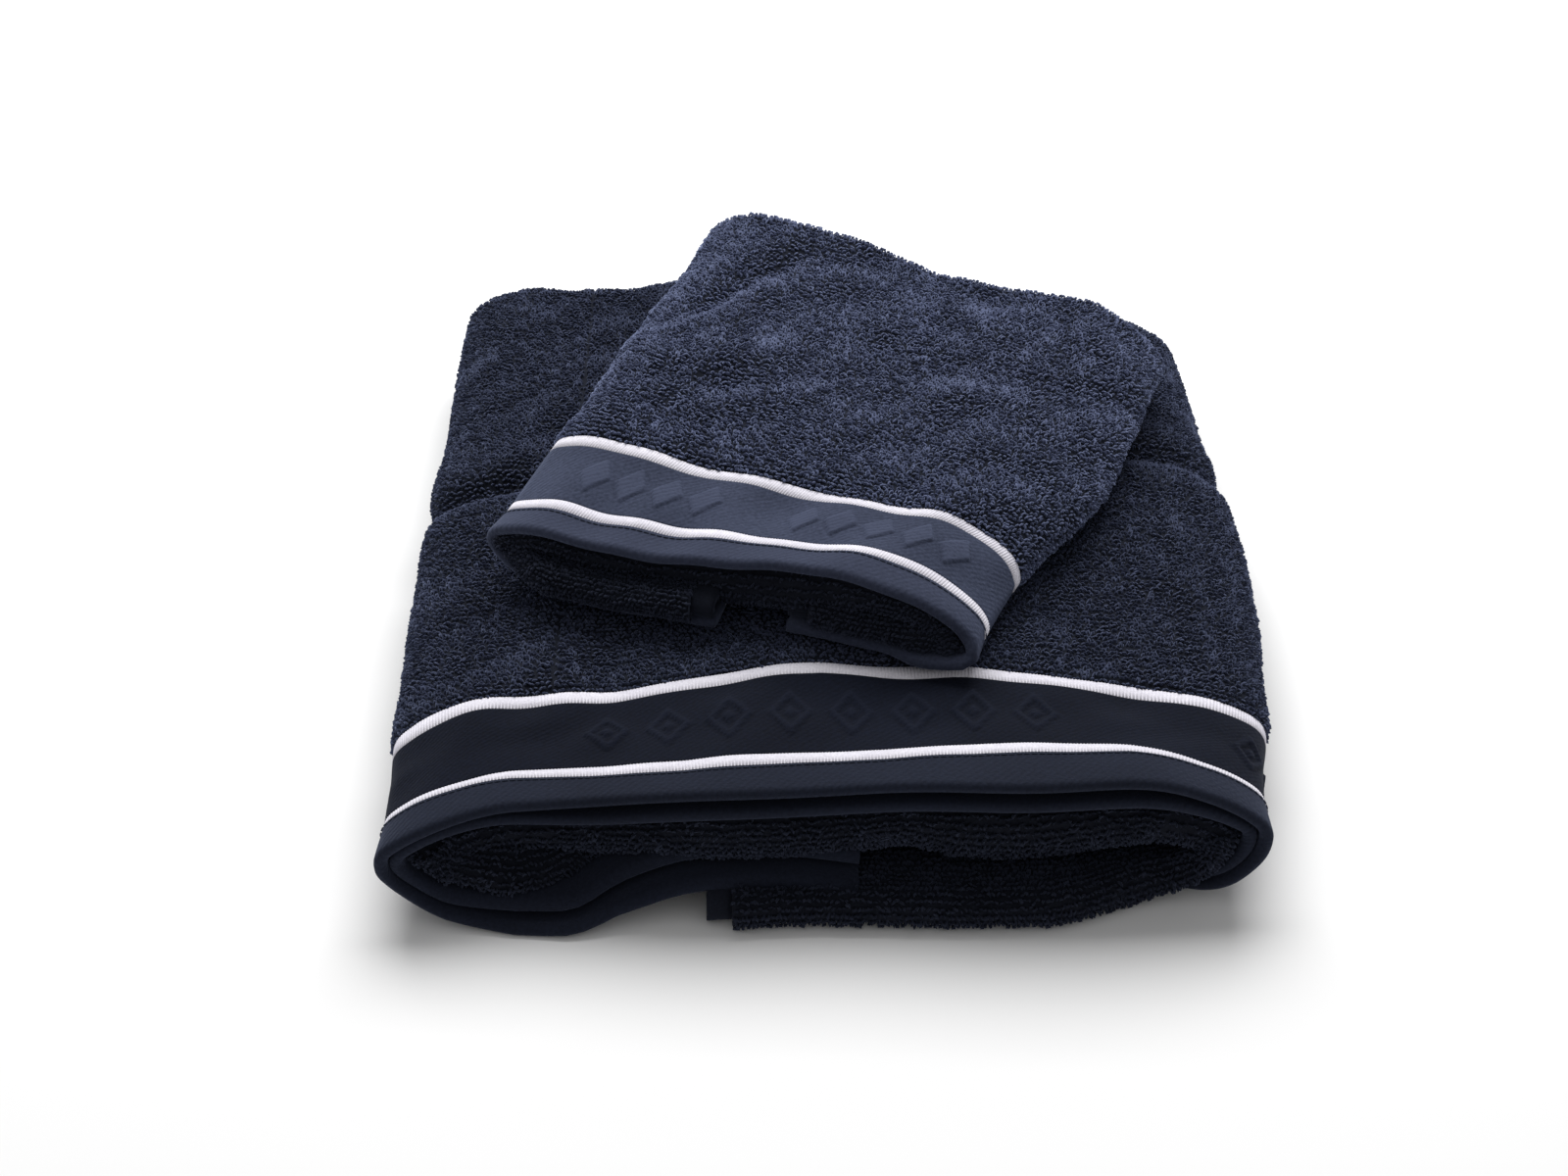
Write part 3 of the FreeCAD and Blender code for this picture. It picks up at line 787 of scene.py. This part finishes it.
def stitch_tree(name, material, shape="stitch"):
    """Geometry nodes that lay one stitch, or one straight rib, on each point along the point's direction."""
    tree, given = points_tree(name, {"Stitch length": STITCH, "Thread radius": THREAD})
    if shape == "stitch":
        bead = add_node(tree, "GeometryNodeMeshUVSphere", {"Segments": 6, "Rings": 4, "Radius": 1})
    else:
        bead = add_node(tree, "GeometryNodeMeshCylinder", {"Vertices": 6, "Depth": 2, "Radius": 1})
    laid = add_node(tree, "GeometryNodeTransform", {
        "Geometry": bead.outputs["Mesh"], "Rotation": (0, math.radians(90), 0)})
    half = add_node(tree, "ShaderNodeMath", {0: given["Stitch length"], 1: STITCH_SHARE / 2},
                    operation="MULTIPLY")
    size = add_node(tree, "ShaderNodeCombineXYZ", {
        "X": half.outputs[0], "Y": given["Thread radius"], "Z": given["Thread radius"]})
    shaped = add_node(tree, "GeometryNodeTransform", {
        "Geometry": laid.outputs["Geometry"], "Scale": size.outputs["Vector"]})
    aim = add_node(tree, "FunctionNodeAlignRotationToVector", {
        "Vector": of_point(tree, "along", "FLOAT_VECTOR")}, axis="X")
    stand_on_points(tree, given["Geometry"], shaped.outputs["Geometry"], aim.outputs["Rotation"],
                    of_point(tree, "stretch", "FLOAT_VECTOR"), material)
    return tree


thread_cotton = cloth_material("navy thread", (0.018, 0.022, 0.036), (0.040, 0.046, 0.068), 0.03, 0.0012,
                               0.2)
stitches = stitch_tree("row of stitches", thread_cotton)


def stitch_row(name, wrap, edges, lie, first, last, body, node):
    """Stitches round the wrap along the hem's sewn edge, standing for the stitching node."""
    count = int((last - first) * wrap.length / STITCH)
    share = np.linspace(first, last, count)
    y = np.array([edges(at)[1] + lie(at)[0] for at in share]) - 1.6 * MM
    points = wrap.place(share, y, 0.0)
    along = np.gradient(points, axis=0)
    along /= np.linalg.norm(along, axis=1, keepdims=True)
    row = grown(name, points, {"along": along, "stretch": np.ones((count, 3))}, stitches,
                **{"Stitch length": STITCH, "Thread radius": THREAD})
    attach(row, body)
    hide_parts(node)
    return row


bath_stitches = stitch_row("bath_hem_stitches", bath, bath_first_edges, first_lie, 0.20, 0.765, "bath_towel",
                           "bath_hem_stitching")

# ---------------------------------------------------------------------------------------------------------
# Bath towel, care label. A blank white tape, sewn into the side hem at the end of the left flap.
# ---------------------------------------------------------------------------------------------------------
label_tape = cloth_material("label tape", (0.60, 0.60, 0.58), (0.74, 0.74, 0.72), 0.02, 0.0008, 0.0, bump=0.2)


def care_label(name, node, body, place=None, curl=0.0012):
    """A thin tape with a slight wave, where the frame has the label."""
    low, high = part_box(node)
    across, deep = np.linspace(0, 1, 15), np.linspace(0, 1, 9)
    u, v = np.meshgrid(across, deep, indexing="ij")
    wave = curl * np.sin(u * 5.2) * (0.4 + 0.6 * v)
    if place:
        top = place(u, v, wave)
    else:
        top = np.stack([low.x + u * (high.x - low.x), low.y + v * (high.y - low.y),
                        high.z + 0.0006 + wave], axis=-1)
    verts = np.concatenate([top.reshape(-1, 3), (top - [0, 0, 0.0004]).reshape(-1, 3)])
    n, m = len(across), len(deep)
    faces, half = [], n * m
    for i in range(n - 1):
        for j in range(m - 1):
            a = i * m + j
            faces += [(a, a + m, a + m + 1, a + 1), (half + a, half + a + 1, half + a + m + 1, half + a + m)]
    rim = ([i * m for i in range(n)] + [(n - 1) * m + j for j in range(1, m)]
           + [i * m + m - 1 for i in range(n - 2, -1, -1)] + [j for j in range(m - 2, 0, -1)])
    faces += [(a, half + a, half + b, b) for a, b in zip(rim, rim[1:] + rim[:1])]
    mesh = bpy.data.meshes.new(name)
    mesh.from_pydata(verts.tolist(), [], faces)
    closed_and_smooth(mesh)
    mesh.materials.append(label_tape)
    piece = set_down(name, mesh)
    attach(piece, body)
    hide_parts(node)
    return piece


care_label("bath_care_label_tape", "bath_care_label", "bath_towel")

# ---------------------------------------------------------------------------------------------------------
# Bath towel, ribs of the white stripes. The stripes are woven with thick wefts, which lie side by side as
# fine ribs across the stripe and end in a lightly toothed edge.
# ---------------------------------------------------------------------------------------------------------
RIB = 1.15 * MM
stripe_ribs = stitch_tree("ribs of a stripe", stripe_cotton, "rib")


def ribs(prefix, wrap, edges, lie, first, last, body):
    """The ribs of a border's two stripes, side by side round the wrap."""
    share = np.linspace(first, last, int((last - first) * wrap.length / RIB))
    back = np.array([lie(at)[0] for at in share])
    depth = np.array([edges(at) for at in share])
    made = []
    for k, row in ((1, "lower"), (3, "upper")):
        low = wrap.place(share, depth[:, k] + back + 0.0002, 0.00115)
        high = wrap.place(share, depth[:, k + 1] + back - 0.0002, 0.00115)
        long = np.linalg.norm(high - low, axis=1)
        stretch = np.column_stack([long / long.mean(), np.ones(len(share)), np.ones(len(share))])
        rib = grown(f"{prefix}_{row}_stripe_ribs", (low + high) / 2,
                    {"along": (high - low) / long[:, None], "stretch": stretch}, stripe_ribs,
                    **{"Stitch length": long.mean() / STITCH_SHARE, "Thread radius": 0.54 * RIB})
        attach(rib, body)
        made.append(rib)
    return made


bath_ribs = ribs("bath_first", bath, bath_first_edges, first_lie, *SEEN, "bath_towel")

# ---------------------------------------------------------------------------------------------------------
# Guest towel, terry cloth. A cloth of 40 by 60 cm, folded in three along its length and then under at both
# sides. It lies turned on the bath towel and sinks a little into its uneven top.
# ---------------------------------------------------------------------------------------------------------
GUEST_LAYER = 3.6 * MM
GUEST_TERRY = 3.4 * MM
GUEST_TURN = math.radians(-18)
GUEST_CREASE = 1.15                 # direction of the old crease at the back left, from the x axis
guest_lows, guest_highs = zip(*[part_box(n) for n in ("guest_front_hem", "guest_terry_cloth")])
guest_low, guest_high = np.minimum(*map(np.array, guest_lows)), np.maximum(*map(np.array, guest_highs))
guest_middle, GUEST_BASE = (guest_low + guest_high) / 2, guest_low[2]


def local_span(node):
    """Lowest and highest x and y of a node in the guest towel's own, unturned frame."""
    co = np.array([v.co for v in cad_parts[node].data.vertices]) - guest_middle
    c, s = math.cos(-GUEST_TURN), math.sin(-GUEST_TURN)
    x, y = co[:, 0] * c - co[:, 1] * s, co[:, 0] * s + co[:, 1] * c
    return x.min(), x.max(), y.min(), y.max()


class TopOf:
    """Height of the upper face of a wrap over a place on the ground."""

    def __init__(self, wrap, first, last, y_low, y_high):
        share, y = np.linspace(first, last, 240), np.linspace(y_low, y_high, 90)
        grid = wrap.place(share[None, :], y[:, None], 0.0)
        self.x = np.linspace(-0.150, 0.150, 121)
        self.y = y
        self.z = np.array([np.interp(self.x, row[:, 0], row[:, 2]) for row in grid])

    def at(self, x, y):
        u = np.clip((x - self.x[0]) / (self.x[1] - self.x[0]), 0, len(self.x) - 1.001)
        v = np.clip((y - self.y[0]) / (self.y[1] - self.y[0]), 0, len(self.y) - 1.001)
        i, j = v.astype(int), u.astype(int)
        u, v = u - j, v - i
        return ((self.z[i, j] * (1 - u) + self.z[i, j + 1] * u) * (1 - v)
                + (self.z[i + 1, j] * (1 - u) + self.z[i + 1, j + 1] * u) * v)


bath_top = TopOf(bath, 0.24, 0.73, BATH_FRONT, BATH_BACK)
PILE_GAP = 1.4 * MM                 # the two piles hold the towels this far apart
guest_left_end = local_span("guest_side_hem_left")[1]
guest_right_end = local_span("guest_side_hem_right")[0]
GUEST_FRONT, GUEST_BACK = local_span("guest_front_hem")[2], local_span("guest_terry_cloth")[3]
GUEST_TERRY_START = local_span("guest_front_upper_stripe")[3]
GUEST_INNER_TERRY = local_span("guest_inner_upper_stripe")[2]
guest_front_section = [
    (guest_left_end, 0.0005), (-0.050, 0.0005), (-0.075, 0.001), (-0.092, 0.004), (-0.1025, 0.0105),
    (-0.1055, 0.0170), (-0.101, 0.0225), (-0.086, 0.0265), (-0.058, 0.0268), (-0.028, 0.0258),
    (-0.006, 0.0262), (0.018, 0.0292), (0.040, 0.0300), (0.058, 0.0260), (0.073, 0.0190),
    (0.0825, 0.0105), (0.081, 0.0040), (0.069, 0.0010), (0.045, 0.0005), (guest_right_end, 0.0005)]
guest_back_section = [
    (guest_left_end, 0.0005), (-0.050, 0.0005), (-0.071, 0.0005), (-0.086, 0.004), (-0.0925, 0.0115),
    (-0.095, 0.0200), (-0.091, 0.0285), (-0.078, 0.0340), (-0.058, 0.0345), (-0.022, 0.0330),
    (0.025, 0.0305), (0.066, 0.0280), (0.088, 0.0225), (0.1005, 0.0160), (0.1045, 0.0100),
    (0.101, 0.0040), (0.088, 0.0008), (0.050, 0.0005), (guest_right_end, 0.0005)]


def settle_guest(p, share=None):
    """Unevenness, wrinkles and the turn and seat of the guest towel on the bath towel."""
    x, y, z = p[..., 0].copy(), p[..., 1].copy(), p[..., 2].copy()
    upper = rise(z, 0.008, 0.014)
    z += upper * (0.0013 * uneven(x, y, 0.085, 13) + 0.0009 * uneven(x, y, 0.032, 14))

    # An old crease at the back left, with the cloth beside it a little raised.
    c, s = math.cos(GUEST_CREASE), math.sin(GUEST_CREASE)
    along = (x + 0.062) * c + (y - 0.060) * s
    off = (y - 0.060) * c - (x + 0.062) * s
    z -= upper * 0.0032 * hump(off, 0, 0.0055) * np.exp(-(along / 0.042) ** 4)
    z += upper * 0.0012 * hump(off, 0.014, 0.009) * np.exp(-(along / 0.045) ** 4)

    # The back left corner and the left side are fuller.
    corner = rise(y, 0.05, 0.06) * rise(-x, 0.01, 0.08)
    z += upper * 0.0020 * corner
    z += upper * 0.0060 * hump(x, -0.080, 0.040) * rise(y, -0.108, 0.045) * (1 - rise(y, 0, 0.09))

    # The border, the back edge and the lower hem run in waves.
    at_band = rise(y, -0.105, 0.035) * (1 - rise(y, -0.064, 0.10))
    y = y + upper * at_band * (0.0050 * hump(x, -0.078, 0.036) + 0.0052 * hump(x, -0.019, 0.020)
                               + 0.0048 * hump(x, 0.066, 0.016))
    behind = rise(y, 0.04, 0.07)
    y = y + 0.006 * corner - behind * (0.005 * hump(x, 0.025, 0.035) + 0.004 * rise(x, 0.06, 0.04))
    y = y + (1 - rise(y, -0.110, 0.06)) * upper * 0.0016 * np.sin(x * 34 + 0.6)
    y = y + rise(y, 0.07, 0.04) * 0.0025 * uneven(x, z, 0.07, 16)
    underneath = 1 - rise(z, 0.003, 0.012)
    y = y - underneath * 0.006 * rise(x, 0.045, 0.02) * (1 - rise(y, -0.110, 0.06))

    # Turned, and laid on the uneven top of the bath towel.
    c, s = math.cos(GUEST_TURN), math.sin(GUEST_TURN)
    px, py = x * c - y * s + guest_middle[0], x * s + y * c + guest_middle[1]
    seat = bath_top.at(px, py)
    flat = max(GUEST_BASE, 0) + 0.0006
    settled = 0.55 * seat + 0.45 * np.maximum(flat, seat)
    pz = np.maximum(np.maximum(z, 0.0) + settled + PILE_GAP, seat + PILE_GAP)
    return np.stack([px, py, pz], axis=-1)


guest = Wrap(guest_front_section, guest_back_section, GUEST_FRONT, GUEST_BACK, 0.12, settle_guest)


def third_line(start_y, last_y, back_y, nose_y, nose_high, nose_low, layer, s):
    """The middle of a cloth folded in three: over the top, round the back, and round inside the front."""
    fold_y = back_y - layer
    turn = np.linspace(0, math.pi, s["outer_fold"])
    y = [np.linspace(start_y, fold_y, s["first"])[:-1], fold_y + 0.5 * layer * np.sin(turn)]
    n = [np.full(s["first"] - 1, 0.5 * layer), layer - 0.5 * layer * np.cos(turn)]
    half = (nose_high - nose_low) / 2
    deep = 1.15 * half
    near = nose_y + deep + NOSE_REACH
    run = np.concatenate([np.linspace(fold_y, near, s["inner"])[:-1],
                          np.linspace(near, nose_y + deep, s["near"])])
    swell = ease(1 - (run - nose_y - deep) / 0.045)
    y += [run[1:-1]]
    n += [(1.5 * layer + (nose_low - 1.5 * layer) * swell)[1:-1]]
    turn = np.linspace(0, math.pi, s["nose"])
    y += [nose_y + deep - deep * np.sin(turn)]
    n += [(nose_high + nose_low) / 2 - half * np.cos(turn)]
    inner = np.concatenate([np.linspace(nose_y + deep, near, s["near"])[1:-1],
                            np.linspace(near, last_y, s["inner"])])
    swell = ease(1 - (inner - nose_y - deep) / 0.045)
    y += [inner]
    n += [2.5 * layer + (nose_high - 2.5 * layer) * swell]
    return np.concatenate(y), np.concatenate(n)


guest_steps = {"first": 58, "outer_fold": 10, "inner": 12, "near": 8, "nose": 18}
guest_side_share = SIDE_HEM / guest.length


def guest_push(share):
    """How far the first border is pushed back; it strays forward underneath on the left."""
    return (-0.0045 * (1 - rise(share, 0.15, 0.06)) - 0.001 * rise(share, 0.86, 0.06)
            + 0.0040 * hump(share, 0.26, 0.045))


def guest_outlines(shares, thickness, back=0.0):
    """Outlines of the three layers at these shares."""
    result = []
    for share in shares:
        over_top = rise(share, 0.30, 0.12) * (1 - rise(share, 0.60, 0.12))
        tip = GUEST_FRONT + back + 0.0035 + 0.0010 * math.sin(share * 17)
        tip -= 0.0120 * (1 - rise(share, 0.17, 0.07)) + 0.003 * rise(share, 0.84, 0.06)
        y, n = third_line(GUEST_TERRY_START + guest_push(share), GUEST_INNER_TERRY, GUEST_BACK, tip,
                          0.0115 + 0.0090 * over_top, 0.0056, GUEST_LAYER, guest_steps)
        result.append(both_faces(y, n, thickness))
    return result


GUEST_SEEN = (0.14, 0.86)
guest_shares = round_stations(guest, guest_side_share, 1 - guest_side_share, 0.0030, 0.008, GUEST_SEEN)
guest_terry, guest_rings = strip_mesh("guest_terry_cloth_folded", guest, guest_shares,
                                      guest_outlines(guest_shares, GUEST_TERRY))
guest_terry.data.materials.append(terry_ground)

# ---------------------------------------------------------------------------------------------------------
# Guest towel, pile. The same loops as on the bath towel; on its underside they are pressed flat.
# ---------------------------------------------------------------------------------------------------------
guest_face = guest_rings[:, :guest_steps["first"] + guest_steps["outer_fold"] - 2]
first, a, b, last = np.searchsorted(guest_shares, (0.15, *TOP_SHARES, 0.85))
middle_row = guest_face.shape[1] // 2
guest_areas = {
    "guest_pile_left_roll": guest_face[first:a + 1],
    "guest_pile_top_front": guest_face[a:b + 1, :middle_row + 1],
    "guest_pile_top_back": guest_face[a:b + 1, middle_row:],
    "guest_pile_right_roll": guest_face[b:last],
}
# The guest towel's loops are dyed about twice as light as the bath towel's of the same cotton, with more
# sheen, as painted light on the upper towel.
guest_pile_painted_light = pile_material("looped pile, painted lighter", (0.026, 0.031, 0.060), (0.099, 0.117, 0.205),
                                  0.55)
guest_pile_tree = loop_tree("loops of the guest towel", ARCH, YARN, guest_pile_painted_light)
guest_piles = [pile(name, grid, guest_pile_tree, 200 + 10 * k, 1)
               for k, (name, grid) in enumerate(guest_areas.items())]
start = guest_steps["first"] + guest_steps["outer_fold"] + guest_steps["inner"] - 3
guest_inner_face = guest_rings[:, ::-1][:, :guest_rings.shape[1] // 2]
guest_nose = guest_inner_face[:, start:start + guest_steps["nose"] + 2 * guest_steps["near"] - 4]
guest_piles.append(pile("guest_pile_front_fold", guest_nose, inner_pile_tree, 290, -1, row_step=2.3 * MM,
                        along_step=1.6 * MM, height=2.0 * MM, lean=0.5, jitter=0.22))
for piece in [guest_terry] + guest_piles:
    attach(piece, "guest_towel")
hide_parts("guest_terry_cloth")

# ---------------------------------------------------------------------------------------------------------
# Guest towel, side hems, borders, stitching and label. Made as on the bath towel, in its smaller sizes. Its
# second border is the end of the innermost layer and lies inside, near the back.
# ---------------------------------------------------------------------------------------------------------
for side, (a, b) in {"left": (0.0, guest_side_share), "right": (1 - guest_side_share, 1.0)}.items():
    at = np.linspace(a, b, 5)
    outlines = guest_outlines(at, GUEST_TERRY * HEM_FULLER, HEM_BACK)
    piece, _ = strip_mesh("guest_side_hem_folded_" + side, guest, at, outlines)
    piece.data.materials.append(hem_cotton)
    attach(piece, "guest_towel")
    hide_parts("guest_side_hem_" + side)


def guest_edges(prefix):
    """The five depths between which a border's strips lie, from the first strip's hem side on."""
    spans = [local_span(prefix + row)[2:] for row in BORDER_ROWS]
    if spans[0][0] < spans[-1][0]:
        return [spans[0][0]] + [(a[1] + b[0]) / 2 for a, b in zip(spans, spans[1:])] + [spans[-1][1]]
    return [spans[0][1]] + [(a[0] + b[1]) / 2 for a, b in zip(spans, spans[1:])] + [spans[-1][0]]


GUEST_PATTERN = {"width": 0.0130, "length": 0.0160, "pitch": 0.0152, "groups": ((-0.060, 4), (0.034, 5)),
                 "hole": -1.0, "core": 0.0}
guest_middle_share = share_above(guest, 0.0, 0.020)


def guest_pattern(share, v):
    """The raised pattern at this share and this far from the middle of the band."""
    return lozenge_relief((share - guest_middle_share) * guest.length, v, **GUEST_PATTERN)


# The guest towel's hem and band are dyed much lighter than the bath towel's of the same cotton, as painted
# light on the upper towel.
guest_cloths = {
    "hem": twill_material("guest hem twill", (0.020, 0.024, 0.042), (0.034, 0.040, 0.068), 0.0011, 0.8, 0.18),
    "band": twill_material("guest band twill", (0.019, 0.0235, 0.042), (0.042, 0.050, 0.084), 0.0010, 0.9,
                           0.20, 0.16)}


def guest_lie(share):
    """How far the first border is pushed back, and how far it lies inside the outer face."""
    return guest_push(share), 0.0


guest_inner_depths = guest_edges("guest_inner_")
guest_first_depths = np.array(guest_edges("guest_front_")) + np.array([0, 0.6, -0.5, 0.8, 0]) * MM
guest_first = border("guest_first", guest, lambda share: guest_first_depths, guest_lie, 0.0007, guest_cloths,
                     guest_pattern)
guest_inner = border("guest_inner", guest, lambda share: guest_inner_depths,
                     lambda share: (0.0, 2 * GUEST_LAYER + 0.0004), 0.004, guest_cloths)
for prefix, made in (("guest_front_", guest_first), ("guest_inner_", guest_inner)):
    for row, piece in made.items():
        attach(piece, "guest_towel")
        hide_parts(prefix + row)
guest_ribs = ribs("guest_first", guest, lambda share: guest_first_depths, guest_lie, *GUEST_SEEN,
                  "guest_towel")
guest_stitches = stitch_row("guest_hem_stitches", guest, lambda share: guest_first_depths, guest_lie, 0.13,
                            0.87, "guest_towel", "guest_hem_stitching")


def guest_label_place(u, v, wave):
    """The guest towel's label, flat on its underside, carried to where the towel lies."""
    x0, x1, y0, y1 = local_span("guest_care_label")
    flat = np.stack([x0 + u * (x1 - x0), y0 + v * (y1 - y0), 0.0006 + 0.3 * wave], axis=-1)
    return settle_guest(flat)


care_label("guest_care_label_tape", "guest_care_label", "guest_towel", guest_label_place)

# ---------------------------------------------------------------------------------------------------------
# Floor, light and camera.
# ---------------------------------------------------------------------------------------------------------
scene = bpy.context.scene
floor_mesh = bpy.data.meshes.new("floor")
floor_mesh.from_pydata([(-4, -4, 0), (4, -4, 0), (4, 4, 0), (-4, 4, 0)], [], [(0, 1, 2, 3)])
floor = set_down("floor", floor_mesh)
floor_paint = bpy.data.materials.new("floor paint")
floor_paint.use_nodes = True
feed(floor_paint.node_tree.nodes["Principled BSDF"], {"Base Color": (0.9, 0.9, 0.9, 1), "Roughness": 1.0})
floor_mesh.materials.append(floor_paint)

world = bpy.data.worlds.new("studio")
scene.world = world
world.use_nodes = True
feed(world.node_tree.nodes["Background"], {"Color": (1, 1, 1, 1), "Strength": 0.36})

# One large softbox above and behind the set, aimed at its middle.
softbox = bpy.data.lights.new("overhead softbox", "AREA")
softbox.shape, softbox.size, softbox.size_y, softbox.energy = "RECTANGLE", 1.7, 1.2, 36
lamp = set_down("overhead softbox", softbox)
lamp.location = (0.0, 0.80, 1.40)
lamp.rotation_euler = (Vector((0, 0, 0.03)) - lamp.location).to_track_quat("-Z", "Y").to_euler()

lens = bpy.data.cameras.new("camera")
camera = set_down("camera", lens)
lens.lens, lens.sensor_width = 64.35, 36.0
camera.location = (-0.0134, -0.887, 0.668)
camera.rotation_euler = (math.radians(90 - 36.5), 0, 0)
scene.camera = camera
scene.view_settings.view_transform = "Standard"
